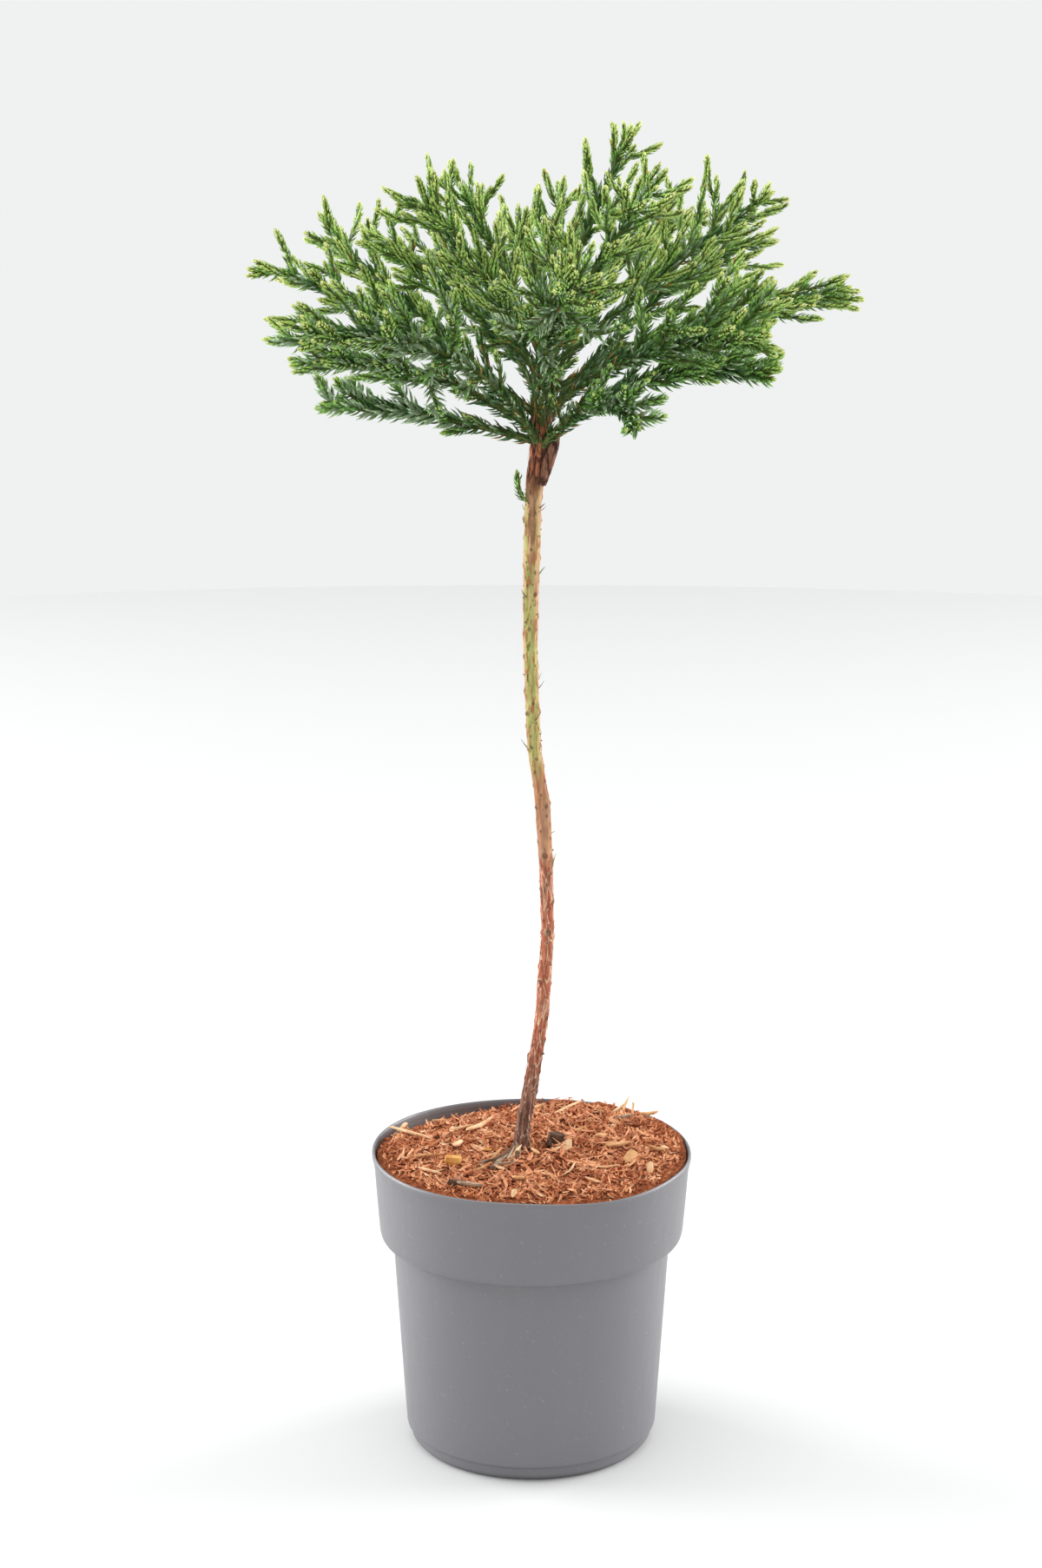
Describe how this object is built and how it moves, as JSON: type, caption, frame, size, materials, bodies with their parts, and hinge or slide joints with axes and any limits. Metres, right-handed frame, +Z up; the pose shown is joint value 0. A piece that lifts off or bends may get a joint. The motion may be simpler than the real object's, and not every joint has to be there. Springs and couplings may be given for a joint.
{
  "type": "potted cryptomeria",
  "caption": "Small grafted cryptomeria with a clear trunk and a broad, open head of needle-clad shoots, in a round nursery pot topped with bark mulch.",
  "frame": {"origin": "middle of the pot's flat underside", "axes": "+Z up along the trunk; +X to the right as seen from the front; +Y to the back"},
  "size_m": [0.3562, 0.3278, 0.8203],
  "materials": {
    "pot_plastic": "satin dark grey moulded plastic",
    "potting_soil": "moist peat",
    "bark_mulch": "shredded reddish bark and wood fibre",
    "bark": "flaking fibrous bark, green above the middle",
    "bough_wood": "young green-brown bark",
    "needles": "satin green needles with yellow-green tips"
  },
  "bodies": {
    "root": {"pot": "pot_plastic", "potting_soil": "potting_soil", "bark_mulch": "bark_mulch", "trunk": "bark", "trunk_sprig": "needles", "bough_left_low": "bough_wood", "needles_left_low": "needles", "bough_left_front": "bough_wood", "needles_left_front": "needles", "bough_left_far": "bough_wood", "needles_left_far": "needles", "bough_left_back": "bough_wood", "needles_left_back": "needles", "bough_front_left": "bough_wood", "needles_front_left": "needles", "bough_front": "bough_wood", "needles_front": "needles", "bough_front_right": "bough_wood", "needles_front_right": "needles", "bough_right_front": "bough_wood", "needles_right_front": "needles", "bough_right_low": "bough_wood", "needles_right_low": "needles", "bough_right_far": "bough_wood", "needles_right_far": "needles", "bough_right_back": "bough_wood", "needles_right_back": "needles", "bough_back_right": "bough_wood", "needles_back_right": "needles", "bough_back": "bough_wood", "needles_back": "needles", "bough_back_left": "bough_wood", "needles_back_left": "needles", "bough_top_left": "bough_wood", "needles_top_left": "needles", "bough_top_left_front": "bough_wood", "needles_top_left_front": "needles", "bough_crest_left": "bough_wood", "needles_crest_left": "needles", "needles_crest": "needles", "bough_top_right": "bough_wood", "needles_top_right": "needles", "bough_top_right_front": "bough_wood", "needles_top_right_front": "needles", "bough_top_back": "bough_wood", "needles_top_back": "needles"}
  },
  "joints": []
}
